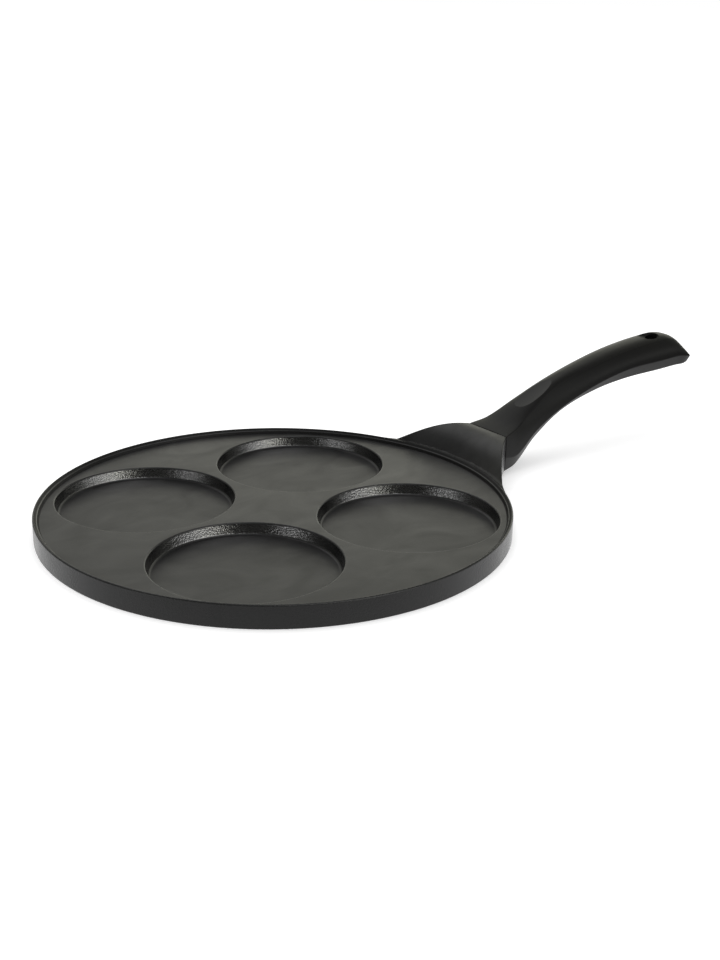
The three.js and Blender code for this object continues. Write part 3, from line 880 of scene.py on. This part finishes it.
# Panels that gloss sees: the way to each, cosines at its rim and core, its level and its blue
PANELS = (
    ((-0.99, -0.05, 0.13), 0.965, 0.99, 1.3, 1.0),
    ((0.15, -0.98, 0.13), 0.965, 0.99, 1.3, 0.85),
    ((0.1, 0.66, 0.745), 0.89, 0.977, 0.62, 1.0),
    ((0.0, -0.6, 0.8), 0.86, 0.97, 1.4, 1.0),
    ((0.45, -0.86, 0.24), 0.86, 0.97, 1.3, 1.0),
    ((-0.1, 0.0, 0.995), 0.5, 0.9, 0.15, 1.0),
)
LAMP_PLACE = (0.1, 0.35, 1.5)
LAMP_AIM = (0.08, 0.0, 0.0)
LAMP_SIZE = (1.6, 1.2)
LAMP_POWER = 8
CAMERA_TARGET = (78.207, 26.049, 0.3)
CAMERA_DISTANCE = 791.8
CAMERA_AZIMUTH = -37.249
CAMERA_ELEVATION = 20.447
CAMERA_ROLL = 1.008
FOCAL_PIXELS = 1319.48
PICTURE_PIXELS = 960
SENSOR = 36
HALF_PIXEL = 0.5 / PICTURE_PIXELS
CLIP_END = 100


def floor():
    """A pale floor, white to the camera. Gloss sees it dimmer in front and at the right."""
    skin = Skin()
    skin.loft([circle(FLOOR_RADIUS, z, FLOOR_SEGMENTS) for z in (FLOOR_BOTTOM, FLOOR_TOP)])
    n = Finish("pale_floor")
    n.set(Base_Color=(*grey(FLOOR_TONE), 1), Roughness=FLOOR_ROUGHNESS)
    n.set(Specular_IOR_Level=0.0, Emission_Color=WHITE)
    path = n.add("LightPath")
    glow = n.add("Math", {1: FLOOR_GLOW}, operation="MULTIPLY")
    n.link(path.outputs["Is Camera Ray"], glow.inputs[0])
    n.link(glow.outputs[0], n.shader.inputs["Emission Strength"])
    level = n.add("Math", operation="MULTIPLY")
    for target, (way, start, end, dim) in zip(level.inputs, FLOOR_FALLS):
        n.link(n.range(n.along(way), start, end, 1.0, dim), target)
    mirrored = n.add("Emission")
    n.link(level.outputs[0], mirrored.inputs["Strength"])
    seen = n.choice(path.outputs["Is Glossy Ray"], n.shader.outputs[0], mirrored.outputs[0])
    n.link(seen, n.tree.nodes["Material Output"].inputs["Surface"])
    material = n.material
    skin.object("floor", material)


def lamp():
    """A weak, broad lamp overhead, hidden from gloss."""
    light = bpy.data.lights.new("overhead", "AREA")
    light.shape = "RECTANGLE"
    light.size, light.size_y = LAMP_SIZE
    light.energy = LAMP_POWER
    obj = bpy.data.objects.new("overhead", light)
    obj.location = LAMP_PLACE
    way = Vector(LAMP_AIM) - Vector(LAMP_PLACE)
    obj.rotation_euler = way.to_track_quat("-Z", "Y").to_euler()
    obj.visible_glossy = False
    bpy.context.scene.collection.objects.link(obj)


def world():
    """A soft dome. The camera sees white, and gloss a dim room, open at the back, with panels."""
    sky = bpy.data.worlds.new("studio")
    bpy.context.scene.world = sky
    n = Nodes(sky, "Generated")

    def background(level):
        return n.add("Background", {"Color": WHITE, "Strength": level})

    split = n.add("SeparateXYZ")
    n.link(n.coords, split.inputs[0])
    height = n.ramp(split.outputs["Z"], greys(CEILING, CEILING_TINT))
    shifted = n.add("Math", {1: DEPTH_MIDDLE}, operation="ADD")
    n.link(n.along(DEPTH_WAY), shifted.inputs[0])
    depth = n.ramp(shifted.outputs[0], greys(DEPTH))
    room = n.blend("MULTIPLY", height, depth)
    for way, rim, core, level, tint in PANELS:
        panel = n.ramp(n.along(way), greys([(rim, 0.0), (core, level)], tint))
        room = n.blend("ADD", room, panel)
    gloss = background(GLOSS_LEVEL)
    n.link(room, gloss.inputs["Color"])
    rays = n.add("LightPath").outputs
    seen = background(DOME_LEVEL).outputs[0]
    seen = n.choice(rays["Is Glossy Ray"], seen, gloss.outputs[0])
    for ray in ("Is Transmission Ray", "Is Camera Ray"):
        seen = n.choice(rays[ray], seen, background(WHITE_LEVEL).outputs[0])
    n.link(seen, n.tree.nodes["World Output"].inputs["Surface"])


def camera():
    """The camera at the photo's angle, from its azimuth, elevation and roll."""
    azimuth = math.radians(CAMERA_AZIMUTH)
    elevation = math.radians(CAMERA_ELEVATION)
    roll = math.radians(CAMERA_ROLL)
    level = Vector((math.sin(azimuth), -math.cos(azimuth), 0))
    back = math.cos(elevation) * level + Vector((0, 0, math.sin(elevation)))
    right = Vector((math.cos(azimuth), math.sin(azimuth), 0))
    up = back.cross(right)
    side = math.cos(roll) * right + math.sin(roll) * up
    rise = -math.sin(roll) * right + math.cos(roll) * up
    data = bpy.data.cameras.new("camera")
    data.lens = FOCAL_PIXELS / PICTURE_PIXELS * SENSOR
    data.sensor_width = SENSOR
    data.shift_x = -HALF_PIXEL
    data.shift_y = HALF_PIXEL
    data.clip_end = CLIP_END
    obj = bpy.data.objects.new("camera", data)
    place = (Vector(CAMERA_TARGET) + CAMERA_DISTANCE * back) * MM
    turn = Matrix((side, rise, back)).transposed().to_4x4()
    obj.matrix_world = Matrix.Translation(place) @ turn
    bpy.context.scene.collection.objects.link(obj)
    bpy.context.scene.camera = obj


floor()
world()
lamp()
camera()
bpy.context.scene.view_settings.view_transform = "Standard"
